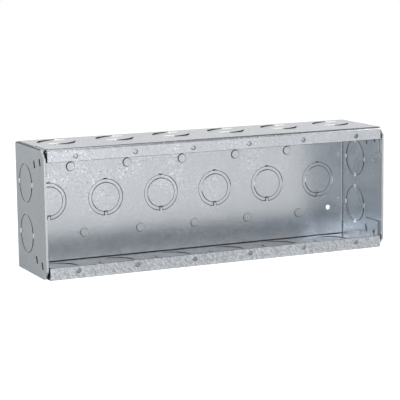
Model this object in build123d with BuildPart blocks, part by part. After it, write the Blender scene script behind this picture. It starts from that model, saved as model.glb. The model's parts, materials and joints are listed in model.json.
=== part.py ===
from build123d import *
import os

# Six-gang steel box for wiring devices: a folded sheet channel, closed by a plate clinched on at each end.
# Millimetres. X runs along the row of gangs, the open front faces -Y and +Z is up. The origin lies under
# the middle of the box, on the plane that it stands on.

# Sheet and folds
sheet = 1.6
bend_inside = 0.8
tab_bend_inside = 1.0

# Gangs, and the tapped holes that take each gang's device screws
gangs = 6
gang_pitch = 46.04
end_margin = 24.6  # last gang's centre line to the outer face of the end plate
device_hole_spacing = 83.34
device_hole_dia = 3.5
hole_to_wall = 5.955  # hole's centre to the outer face of the top or bottom wall
hole_to_lip = 3.645  # hole's centre to the free edge of the flange
box_depth = 63.5

# Knockouts: discs and rings struck part way through the sheet and left hanging on ties
half_inch_knockout = 22.2
ring_width = 3.0  # from the half-inch circle to the three-quarter-inch circle
knockout_step = 0.45
step_run = 0.45  # how far the side of a step slopes in
tie_width = 2.4
tie_reach = 2.2  # how far a tie runs in from the rim of a knockout with no ring
wall_tie_width = 7.0
wall_tie_angle = 60.0  # line through the two ties of a top or bottom knockout, from the row of gangs
side_knockout_setback = 22.0  # top, bottom and end knockouts, from the outer face of the back
end_knockout_spacing = 37.4

# Pry slots on the back's knockouts
pry_slot_width = 1.3
pry_slot_floor = 0.5  # sheet left under a slot
rim_slot_length = 3.6
disc_slot_length = 4.2

# Round bosses pushed in from the back, one beside each line between two gangs, in two rows
boss_dia = 6.6
boss_rise = 0.8
boss_run = 0.3  # how far the side of a boss slopes in
boss_row_spacing = 51.2
boss_stagger = 5.0

# Ground screw hole in the back, beside the last gang
ground_hole_dia = 4.8
ground_hole_side = 9.8
ground_hole_drop = 23.8

# End plates, and the body's tabs that they are clinched to
end_gap = 0.4  # end of the body's walls to the inner face of the plate
flange_gap = 1.2  # end of a front flange to the inner face of the plate
plate_edge_inset = 0.5
plate_back_inset = 0.8
plate_front_corner = 6.5
plate_back_corner = 0.5
tab_slit = 1.6
tab_length = 20.0
tab_height = 20.2

# Clinch lugs, half-sheared out of the plates into windows in the tabs
lug_width = 2.4
lug_height = 5.2
lug_root = 0.5  # sheet that still joins a lug to its plate
lug_tilt = 20.0
lug_clearance = 0.15
front_lug_inset = 4.5  # lug's centre to the front edge of the tab
front_lug_rise = 10.2  # lug's centre to the free end of the tab
rear_lug_inset = 3.3  # lug's centre to the rear edge of the tab
rear_lug_rise = 7.5

# Derived sizes and places
bend_outside = bend_inside + sheet
tab_bend_outside = tab_bend_inside + sheet
pry_slot_depth = sheet - pry_slot_floor
lug_push = sheet - lug_root
box_height = device_hole_spacing + 2 * hole_to_wall
mid_height = box_height / 2
mouth_height = device_hole_spacing - 2 * hole_to_lip
half_length = (gangs - 1) * gang_pitch / 2 + end_margin
plate_inner = half_length - sheet
body_end = plate_inner - end_gap
tab_bend_start = plate_inner - tab_bend_outside

front_y = -box_depth / 2
back_y = box_depth / 2
back_inner_y = back_y - sheet
side_knockout_y = back_y - side_knockout_setback
tab_front = front_y + bend_outside + tab_slit
tab_rear = tab_front + tab_length
tab_middle = (tab_front + tab_rear) / 2

disc_radius = half_inch_knockout / 2
ring_radius = disc_radius + ring_width
last_gang_x = (gangs - 1) * gang_pitch / 2
gang_lines = [index * gang_pitch - last_gang_x for index in range(gangs)]
lines_between = [line + gang_pitch / 2 for line in gang_lines[:-1]]

front_plane = Plane(origin=(0, front_y, mid_height), x_dir=(1, 0, 0), z_dir=(0, -1, 0))
back_plane = Plane(origin=(0, back_y, mid_height), x_dir=(1, 0, 0), z_dir=(0, -1, 0))
mid_height_plane = Plane.XY.offset(mid_height)

# Places of the knockouts, on the face that each is struck from
back_places = [(line, back_inner_y, mid_height) for line in gang_lines]
top_places = [(line, side_knockout_y, box_height) for line in gang_lines]
bottom_places = [(line, side_knockout_y, 0) for line in gang_lines]
end_rise = end_knockout_spacing / 2
end_places = [(half_length, side_knockout_y, mid_height + rise) for rise in (end_rise, -end_rise)]

# Places of the bosses, on the inner face of the back
boss_rise_z = boss_row_spacing / 2
boss_places = [(line - boss_stagger, back_inner_y, mid_height + boss_rise_z) for line in lines_between]
boss_places += [(line + boss_stagger, back_inner_y, mid_height - boss_rise_z) for line in lines_between]

# Places of the four lugs of one end, as Y and Z
lug_places = []
for edge, inward in ((box_height, -1), (0, 1)):
    tab_end = edge + inward * tab_height
    lug_places.append((tab_front + front_lug_inset, tab_end - inward * front_lug_rise))
    lug_places.append((tab_rear - rear_lug_inset, tab_end - inward * rear_lug_rise))


def planes_at(places, along, blow):
    """A plane at each place, with its X along the wall and its Z along the blow."""
    return [Plane(place, x_dir=along, z_dir=blow) for place in places]


def struck_disc(ties, width, turn):
    """The metal struck away, along +Z, where a whole disc is sunk and hangs on ties in its rim."""
    with BuildPart() as disc:
        Cone(
            ring_radius,
            ring_radius - step_run,
            knockout_step,
            align=(Align.CENTER, Align.CENTER, Align.MIN),
        )
        with BuildSketch():
            with PolarLocations(ring_radius, ties, start_angle=turn):
                Rectangle(2 * tie_reach, width)
        extrude(amount=knockout_step, mode=Mode.SUBTRACT)
    return disc.part


wall_knockout = struck_disc(2, wall_tie_width, -wall_tie_angle)
end_knockout = struck_disc(4, tie_width, 0)

# A concentric knockout of the back: a sunken ring, whole but for one tie below the disc, and a slot to pry
# with on each circle
with BuildPart() as back_knockout:
    with BuildSketch(Plane.XZ):
        with BuildLine():
            Polyline(
                (disc_radius, 0),
                (ring_radius, 0),
                (ring_radius - step_run, knockout_step),
                (disc_radius + step_run, knockout_step),
                close=True,
            )
        make_face()
    revolve(axis=Axis.Z)
    with BuildSketch():
        with Locations((0, disc_radius + ring_width / 2)):
            Rectangle(tie_width, 2 * ring_width)
    extrude(amount=knockout_step, mode=Mode.SUBTRACT)
    with BuildSketch():
        with Locations((0, -ring_radius)):
            Rectangle(rim_slot_length, pry_slot_width)
        with Locations((0, disc_radius)):
            Rectangle(disc_slot_length, pry_slot_width)
    extrude(amount=pry_slot_depth)

# The two tabs at the right end, bent from the top and bottom walls to lie on the plate
with BuildPart() as tab_pair:
    with BuildSketch(Plane.XZ.offset(-tab_front)):
        with BuildLine():
            tab_root = tab_bend_start - sheet
            outer_face = FilletPolyline(
                (tab_root, box_height),
                (plate_inner, box_height),
                (plate_inner, box_height - tab_height),
                radius=tab_bend_outside,
            )
            inner_face = FilletPolyline(
                (tab_root, box_height - sheet),
                (plate_inner - sheet, box_height - sheet),
                (plate_inner - sheet, box_height - tab_height),
                radius=tab_bend_inside,
            )
            Line(outer_face @ 0, inner_face @ 0)
            Line(outer_face @ 1, inner_face @ 1)
        make_face()
    extrude(amount=-tab_length)
    mirror(about=mid_height_plane)

# Body: back, top and bottom walls, the two front flanges and the four tabs, in one sheet
with BuildPart() as box_body:
    with BuildSketch(Plane.YZ):
        with Locations((0, mid_height)):
            RectangleRounded(box_depth, box_height, bend_outside)
            RectangleRounded(box_depth - 2 * sheet, box_height - 2 * sheet, bend_inside, mode=Mode.SUBTRACT)
        with Locations((front_y, mid_height)):
            Rectangle(2 * bend_outside, mouth_height, mode=Mode.SUBTRACT)
    extrude(amount=body_end, both=True)

    # Flanges cut short of the plates
    trim_x = plate_inner - flange_gap / 2
    with BuildSketch(front_plane):
        with Locations((trim_x, 0), (-trim_x, 0)):
            Rectangle(flange_gap, box_height)
    extrude(amount=-bend_outside, mode=Mode.SUBTRACT)

    # Walls cut back where the tabs bend, with a slit on each side of a tab
    relief_length = body_end - tab_bend_start
    relief_x = (body_end + tab_bend_start) / 2
    with BuildSketch():
        with Locations((relief_x, tab_middle), (-relief_x, tab_middle)):
            Rectangle(relief_length, tab_length + 2 * tab_slit)
    extrude(amount=box_height, mode=Mode.SUBTRACT)
    add(tab_pair.part)
    mirror(tab_pair.part, about=Plane.YZ)

    # Windows in the tabs for the clinch lugs
    with BuildSketch(Plane.YZ):
        with Locations(*lug_places):
            Rectangle(lug_width + 2 * lug_clearance, lug_height + 2 * lug_clearance, rotation=-lug_tilt)
    extrude(amount=half_length, both=True, mode=Mode.SUBTRACT)

    # Device screw holes in the flanges, and the ground screw hole in the back
    with BuildSketch(front_plane):
        with GridLocations(gang_pitch, device_hole_spacing, gangs, 2):
            Circle(device_hole_dia / 2)
    extrude(amount=-sheet, mode=Mode.SUBTRACT)
    with BuildSketch(back_plane):
        with Locations((last_gang_x + ground_hole_side, -ground_hole_drop)):
            Circle(ground_hole_dia / 2)
    extrude(amount=sheet, mode=Mode.SUBTRACT)

    # Bosses, pushed into the box
    with Locations(*planes_at(boss_places, (1, 0, 0), (0, -1, 0))):
        Cone(
            boss_dia / 2,
            boss_dia / 2 - boss_run,
            boss_rise,
            align=(Align.CENTER, Align.CENTER, Align.MIN),
        )

    # Knockouts: those of the back struck from inside, those of the top and bottom from outside
    with Locations(*planes_at(back_places, (1, 0, 0), (0, 1, 0))):
        add(back_knockout.part, mode=Mode.SUBTRACT)
    with Locations(*planes_at(top_places, (1, 0, 0), (0, 0, -1))):
        add(wall_knockout, mode=Mode.SUBTRACT)
    with Locations(*planes_at(bottom_places, (1, 0, 0), (0, 0, 1))):
        add(wall_knockout, mode=Mode.SUBTRACT)

# End plates: flat, with their front corners cut off to clear the folded corners of the flanges
with BuildPart() as right_end_plate:
    plate_depth = box_depth - plate_back_inset
    plate_height = box_height - 2 * plate_edge_inset
    with BuildSketch(Plane.YZ.offset(plate_inner)) as plate_outline:
        with Locations((front_y + plate_depth / 2, mid_height)):
            Rectangle(plate_depth, plate_height)
        chamfer(plate_outline.vertices().group_by(Axis.X)[0], plate_front_corner)
        chamfer(plate_outline.vertices().group_by(Axis.X)[-1], plate_back_corner)
    extrude(amount=sheet)

    # Knockouts, struck from outside
    with Locations(*planes_at(end_places, (0, 1, 0), (-1, 0, 0))):
        add(end_knockout, mode=Mode.SUBTRACT)

    # Clinch lugs: a pocket outside and the metal pushed out of it inside
    with BuildSketch(Plane.YZ.offset(half_length)):
        with Locations(*lug_places):
            Rectangle(lug_width, lug_height, rotation=-lug_tilt)
    extrude(amount=-lug_push, mode=Mode.SUBTRACT)
    with BuildSketch(Plane.YZ.offset(plate_inner)):
        with Locations(*lug_places):
            Rectangle(lug_width, lug_height, rotation=-lug_tilt)
    extrude(amount=-lug_push)

with BuildPart() as left_end_plate:
    mirror(right_end_plate.part, about=Plane.YZ)

box_body.part.label = "box_body"
right_end_plate.part.label = "right_end_plate"
left_end_plate.part.label = "left_end_plate"

os.makedirs("parts", exist_ok=True)
export_step(box_body.part, "parts/box_body.step")
export_step(right_end_plate.part, "parts/right_end_plate.step")
export_step(left_end_plate.part, "parts/left_end_plate.step")
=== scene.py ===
"""Looks of a galvanised multi-gang box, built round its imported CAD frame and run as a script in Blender."""

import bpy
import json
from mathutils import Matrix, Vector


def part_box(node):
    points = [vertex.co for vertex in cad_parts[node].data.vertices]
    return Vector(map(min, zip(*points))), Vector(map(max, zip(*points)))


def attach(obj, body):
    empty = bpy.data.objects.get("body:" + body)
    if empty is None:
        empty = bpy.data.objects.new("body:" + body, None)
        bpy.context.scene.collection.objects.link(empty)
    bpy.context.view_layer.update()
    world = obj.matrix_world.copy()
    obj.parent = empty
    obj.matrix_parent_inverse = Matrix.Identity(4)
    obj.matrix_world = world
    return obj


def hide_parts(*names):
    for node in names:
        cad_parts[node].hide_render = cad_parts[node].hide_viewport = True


bl_info = {
    "name": "Galvanised multi-gang box",
    "version": (1, 0, 0),
    "blender": (4, 5, 0),
    "location": "View3D > Sidebar > Gang box",
    "description": "Strikes the knockouts, taps the holes, finishes the sheet and sets the studio",
    "category": "Object",
}

import json
import math

import bmesh
import bpy
from bpy.props import FloatProperty, FloatVectorProperty, IntProperty, PointerProperty
from mathutils import Matrix, Vector

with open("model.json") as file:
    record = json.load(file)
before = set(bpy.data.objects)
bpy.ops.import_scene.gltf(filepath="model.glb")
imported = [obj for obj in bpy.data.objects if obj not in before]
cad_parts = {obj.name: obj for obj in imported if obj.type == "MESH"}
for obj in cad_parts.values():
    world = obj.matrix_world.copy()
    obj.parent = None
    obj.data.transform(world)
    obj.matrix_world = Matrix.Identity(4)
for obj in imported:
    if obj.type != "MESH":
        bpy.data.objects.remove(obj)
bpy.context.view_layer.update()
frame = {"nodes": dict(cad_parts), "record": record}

MM = 0.001
WELD = 0.001 * MM  # points nearer than this are one
NEAR = 0.1 * MM  # faces nearer than this lie in one plane
FULL_TURN = [(0, math.tau)]

# Places that the frame gives, in metres
mounts = frame["record"]["mounts"]
gangs = [mount for mount in mounts if mount["kind"] == "bolt_pattern"]
ground_hole = next(mount for mount in mounts if mount["kind"] == "threaded_hole")
gang_count = len(gangs)
gang_pitch = gangs[1]["pos_m"][0] - gangs[0]["pos_m"][0]
first_gang = gangs[0]["pos_m"][0]
body_low, body_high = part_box("box_body")
plate_low, plate_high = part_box("right_end_plate")
mid_height = (body_low.z + body_high.z) / 2
along_gangs = (gang_pitch, 0, 0)

# Turns that lay a tool's +Z along the outward side of each wall's face
FACING_UP = (0, 0, 0)
FACING_DOWN = (math.pi, 0, 0)
FACING_FRONT = (math.pi / 2, 0, 0)
FACING_BACK = (-math.pi / 2, 0, 0)
FACING_RIGHT = (0, math.pi / 2, 0)
FACING_LEFT = (0, -math.pi / 2, 0)


def length(name, description, millimetres):
    """A length property, given in millimetres and kept in metres."""
    return FloatProperty(
        name=name, description=description, default=millimetres * MM, precision=5, unit="LENGTH"
    )


def place(name, description, millimetres):
    """A place property in the box's frame, given in millimetres and kept in metres."""
    return FloatVectorProperty(
        name=name,
        description=description,
        default=[value * MM for value in millimetres],
        size=3,
        subtype="XYZ",
        unit="LENGTH",
    )


def power(name, description, watts):
    """The power of a lamp."""
    return FloatProperty(name=name, description=description, default=watts, unit="POWER")


def angle(name, description, degrees):
    """An angle property, given in degrees."""
    return FloatProperty(
        name=name, description=description, default=math.radians(degrees), subtype="ANGLE"
    )


def share(name, description, value):
    """A plain number from 0 to 1."""
    return FloatProperty(name=name, description=description, default=value, subtype="FACTOR", min=0, max=1)


def linear(code):
    """The linear colour of an sRGB hex code."""
    channels = [int(code[start:start + 2], 16) / 255 for start in (1, 3, 5)]
    return tuple(c / 12.92 if c <= 0.04045 else ((c + 0.055) / 1.055) ** 2.4 for c in channels)


def colour(name, description, code):
    """A colour property, given as an sRGB hex code and kept linear."""
    return FloatVectorProperty(
        name=name, description=description, default=linear(code), size=3, subtype="COLOR", min=0, max=1
    )


class KnockoutSizes(bpy.types.PropertyGroup):
    """Sizes of the knockouts, as the CAD sheet has them on the face that each is struck from."""

    sheet: length("Sheet", "Thickness of the steel sheet", 1.6)
    disc_radius: length("Disc radius", "Half-inch circle", 11.1)
    ring_radius: length("Ring radius", "Three-quarter-inch circle", 14.1)
    step: length("Step", "How far a ring or disc is pushed through the sheet", 0.45)
    tie_width: length("Tie width", "Tie of a back or end knockout", 2.4)
    wall_tie_width: length("Wall tie width", "Tie of a top or bottom knockout", 7.0)
    wall_tie_angle: angle("Wall tie angle", "Line through a wall knockout's ties, from the row", 60.0)
    setback: length("Setback", "Top, bottom and end knockouts, from the outer face of the back", 22.0)
    end_spacing: length("End spacing", "Between the two knockouts of an end plate", 37.4)
    shear_width: length("Shear line width", "Crack round a struck ring or disc", 0.42)
    shear_depth: length("Shear line depth", "How deep the crack runs", 0.7)
    slot_width: length("Slot width", "Torn bottom of a pry slot, across", 0.9)
    rim_slot: length("Rim slot", "Torn bottom of the pry slot on the outer circle, along", 3.0)
    disc_slot: length("Disc slot", "Torn bottom of the pry slot on the inner circle, along", 3.6)
    slot_depth: length("Slot depth", "Pry slots, from the inner face of the back", 1.15)
    disc_lap: length("Disc lap", "How far a struck disc's rim runs into the sheet at its ties", 0.05)
    top_twist: angle("Top twist", "How far a disc of the top turns about its ties", 3.0)
    base_twist: angle("Base twist", "How far a disc of the bottom turns about its ties", 1.6)
    end_twist: angle("End twist", "How far an end disc turns about its upright ties", 1.3)
    wall_swell: length("Wall swell", "Width of the drawn metal at a top or bottom tie", 9.4)
    wall_swell_inset: length("Wall swell inset", "Drawn metal to the circle", 3.4)
    end_swell: length("End swell", "Width of the drawn metal at an end tie", 3.6)
    wall_swell_rise: length("Wall swell rise", "Height of the drawn metal at a top or bottom tie", 0.09)
    end_swell_rise: length("End swell rise", "Height of the drawn metal at an end tie", 0.2)
    segments: IntProperty(name="Segments", description="Facets of a full circle", default=72, min=24)


class PressSizes(bpy.types.PropertyGroup):
    """Sizes of the bosses, bends, flange ends, tabs, clinch pockets and threads."""

    boss_radius: length("Boss hollow radius", "Hollow behind a boss, at its mouth", 2.9)
    boss_floor: length("Boss hollow floor", "Hollow behind a boss, at its floor", 2.5)
    boss_depth: length("Boss hollow depth", "How deep the hollow is", 0.8)
    boss_rows: length("Boss rows", "Between the two rows of bosses", 51.2)
    boss_stagger: length("Boss stagger", "Boss to the line between two gangs", 5.0)
    boss_foot: length("Boss foot", "Radius of the crack at the foot of a boss", 3.45)
    bend_inside: length("Bend", "Inner radius of the body's bends", 0.8)
    # Painted shade: a near-black groove inside each back bend
    shade_groove_width: length("Crease width", "Crease coined inside a back bend", 0.85)
    shade_groove_depth: length("Crease depth", "How deep a crease is", 0.25)
    flange: length("Flange", "Height of a front flange", 9.6)
    lip_break: length("Lip break", "Broken edge along the lip of a flange", 0.22)
    end_gap: length("End gap", "End of the back to the end plate", 0.4)
    flange_gap: length("Flange gap", "End of a flange to the end plate", 1.2)
    edge_break: length("Edge break", "Shear's breakout along the top of an end plate", 0.5)
    corner_break: length("Corner break", "Broken edge at the ends of the back", 0.4)
    # Painted shade: dark blocks behind the flange ends
    shade_block_width: length("Root width", "Torn root beside a tab, across", 1.5)
    shade_block_depth: length("Root depth", "Torn root beside a tab, front to back", 1.2)
    shade_block_reach: length("Root reach", "How far a torn root stands past the end of its flange", 0.4)
    front_corner: length("Front corner", "How far the cut front corners of an end plate run back", 12.0)
    tab_reach: length("Tab reach", "Free end of a tab to the nearer wall's outer face", 20.2)
    tab_front: length("Tab front", "Front edge of a tab to the flange's front face", 4.0)
    tab_length: length("Tab length", "Tab, front to back", 20.0)
    # Painted shade: near-black grooves along the tabs' edges
    shade_line_width: length("Bite width", "Groove along the edge of a tab", 0.6)
    shade_line_depth: length("Bite depth", "Groove along the edge of a tab, from the plate's inner face", 0.5)
    pocket_width: length("Pocket width", "Clinch pocket, across", 2.5)
    pocket_height: length("Pocket height", "Clinch pocket, along", 5.3)
    pocket_depth: length("Pocket depth", "Clinch pocket, from the outer face", 1.15)
    pocket_tilt: angle("Pocket tilt", "Lean of a clinch pocket", 20.0)
    front_pocket: length("Front pocket", "Front clinch pocket to the plate's front edge", 8.5)
    front_rise: length("Front pocket rise", "Front clinch pocket to the nearer wall", 10.0)
    rear_pocket: length("Rear pocket", "Rear clinch pocket to the plate's front edge", 20.7)
    rear_rise: length("Rear pocket rise", "Rear clinch pocket to the nearer wall", 12.7)
    thread_pitch: length("Thread pitch", "32 turns to the inch", 0.794)
    thread_depth: length("Thread depth", "Ridge above the thread's outer diameter", 0.4)


class FinishSettings(bpy.types.PropertyGroup):
    """Colours of the steel, and the sizes and strengths of its surface patterns."""

    body_zinc: colour("Body zinc", "Galvanised sheet of the body", "#CFD3D8")
    end_zinc: colour("End zinc", "Smoother galvanised sheet of the end plates", "#AFB5BA")
    # The sheared steel's near-black tone is partly painted shade, for the crevices that it lines
    sheared_steel: colour("Sheared steel", "Broken metal inside the shear lines and slots", "#2E3134")
    tapped_steel: colour("Tapped steel", "Cut metal of the threads", "#6D7176")
    burnished_steel: colour("Burnished steel", "Bright edges and the lower bosses", "#CDCFD1")
    # The drawn zinc's near-white tone is a painted highlight on real smooth zinc
    drawn_zinc: colour("Drawn zinc", "Smooth zinc over the ties of the knockouts", "#F1F2F3")
    drawn_roughness: share("Drawn roughness", "Roughness of the smooth zinc over the ties", 0.16)
    spangle: length("Spangle", "Width of a zinc crystal", 3.0)
    fleck: length("Fleck", "Width of a pit or bright fleck", 1.1)
    mottle: length("Mottle", "Width of a soft cloud in the zinc", 26.0)
    scuff: length("Scuff", "Spacing of the slanting scuffs", 1.0)
    pit_shade: share("Pit shade", "How much darker a pit is", 0.42)
    fleck_shade: share("Fleck shade", "How much lighter a fleck is", 0.45)
    fleck_low: length("Fleck low", "Height below which the flecks are few", 30.0)
    fleck_high: length("Fleck high", "Height above which the flecks are many", 60.0)
    fleck_right: length("Fleck right", "Right of the middle where the flecks are few again", 110.0)
    scuff_dark: share("Scuff dark", "How much darker a scuff gets", 0.32)
    scuff_light: share("Scuff light", "How much lighter a scuff gets", 0.16)
    scuff_front: length("Scuff front", "Behind the front face where the scuffs start to fade", 1.0)
    scuff_back: length("Scuff back", "Behind the front face where the scuffs have faded", 3.0)
    scuff_low: length("Scuff low", "Height up to which the scuffs are full", 10.0)
    scuff_high: length("Scuff high", "Height above which the scuffs are few", 40.0)
    # Painted shade on the floor inside the box
    floor_shade: share("Dust", "What a film of dust leaves of the zinc's tone", 0.74)
    floor_shade_low: length("Dust low", "Height up to which the dust lies", 3.0)
    floor_shade_high: length("Dust high", "Height above which there is none", 6.0)
    # Painted shade and light on the outside of the end plates
    foot_shade: share("Foot tone", "What wear leaves of the tone at the foot of an end's outside", 0.82)
    head_light: share("Head gain", "How much lighter the head of an end's outside is", 0.08)
    head_height: length("Head height", "Height where an end's outside is lightest", 95.0)
    outside_from: length("Outside from", "From the middle to where an end's outside begins", 60.0)
    outside_full: length("Outside full", "From the middle to where an end's outside is reached", 120.0)
    grain_depth: length("Grain depth", "Relief of the zinc's surface", 0.05)
    body_roughness: share("Body roughness", "Roughness of the body's zinc", 0.26)
    end_roughness: share("End roughness", "Roughness of the end plates' zinc", 0.28)


class StudioSettings(bpy.types.PropertyGroup):
    """Camera, floor and light."""

    camera_place: place("Camera place", "Where the camera stands", (-510.99, -1106.26, 239.71))
    camera_yaw: angle("Camera yaw", "Turn of the view to the right of straight ahead", 24.63)
    camera_dip: angle("Camera dip", "How far the view looks down", 9.12)
    camera_roll: angle("Camera roll", "Lean of the picture", -0.77)
    lens: FloatProperty(name="Lens", description="Focal length in mm", default=145.26, unit="CAMERA")
    floor_size: length("Floor size", "Side of the square floor", 4000.0)
    white: colour("White", "Background", "#FFFFFF")
    floor_tone: colour("Floor tone", "Matt paper of the floor", "#E2E2E2")
    fill: share("Fill", "Light of the white world on matt surfaces", 0.0)
    ceiling: share("Ceiling", "How bright the room is overhead, as the metal shows it", 0.2)
    horizon_to: share("Horizon top", "Sine of the elevation up to which the room is white", 0.15)
    ceiling_from: share("Ceiling height", "Sine of the elevation where the ceiling is reached", 0.45)
    floor_shown: share("Floor shown", "Share of the white glow that the camera sees in the floor", 0.66)
    floor_mirrored: share("Floor mirrored", "Share of the white glow in the floor's reflections", 0.07)
    floor_glow: FloatProperty(
        name="Floor glow", description="Strength of the floor's white glow", default=1.52
    )
    key_place: place("Key place", "Softbox above, in front", (-150, -1100, 900))
    key_size: length("Key size", "Side of the key softbox", 500)
    key_power: power("Key power", "Key softbox", 9.2)
    front_place: place("Front place", "Lower softbox beside the camera", (-350, -1000, 600))
    front_size: length("Front size", "Side of the front softbox", 500)
    front_power: power("Front power", "Front softbox", 8.2)
    side_place: place("Side place", "Softbox to the right", (1000, -600, 800))
    side_size: length("Side size", "Side of the right-hand softbox", 600)
    side_power: power("Side power", "Right-hand softbox", 4.4)
    top_place: place("Top place", "Wide softbox overhead", (0, -100, 1400))
    top_size: length("Top size", "Side of the overhead softbox", 900)
    top_power: power("Top power", "Overhead softbox", 2.6)
    rear_place: place("Rear place", "Softbox behind, to the left", (-1000, 1000, 800))
    rear_size: length("Rear size", "Side of the rear softbox", 600)
    rear_power: power("Rear power", "Rear softbox", 9.6)


def add(tree, kind, inputs=None, **settings):
    """Adds a node with its settings, then links each input to a socket or sets it to a value."""
    node = tree.nodes.new(kind)
    for name, value in settings.items():
        setattr(node, name, value)
    for key, value in (inputs or {}).items():
        if isinstance(value, bpy.types.NodeSocket):
            tree.links.new(value, node.inputs[key])
        else:
            node.inputs[key].default_value = value
    return node


def new_material(name):
    """An empty node material, with its output node."""
    material = bpy.data.materials.new(name)
    material.use_nodes = True
    tree = material.node_tree
    tree.nodes.clear()
    return material, tree, add(tree, "ShaderNodeOutputMaterial")


# Inputs by number: a Map Range takes a value (0) from one span (1, 2) to another (3, 4), and a Mix of
# colours takes a share (0) and two colours (6, 7) and gives its colour as output 2
NOISE_SPAN = {1: 0.3, 2: 0.7}  # what nearly all of a noise keeps within


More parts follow.
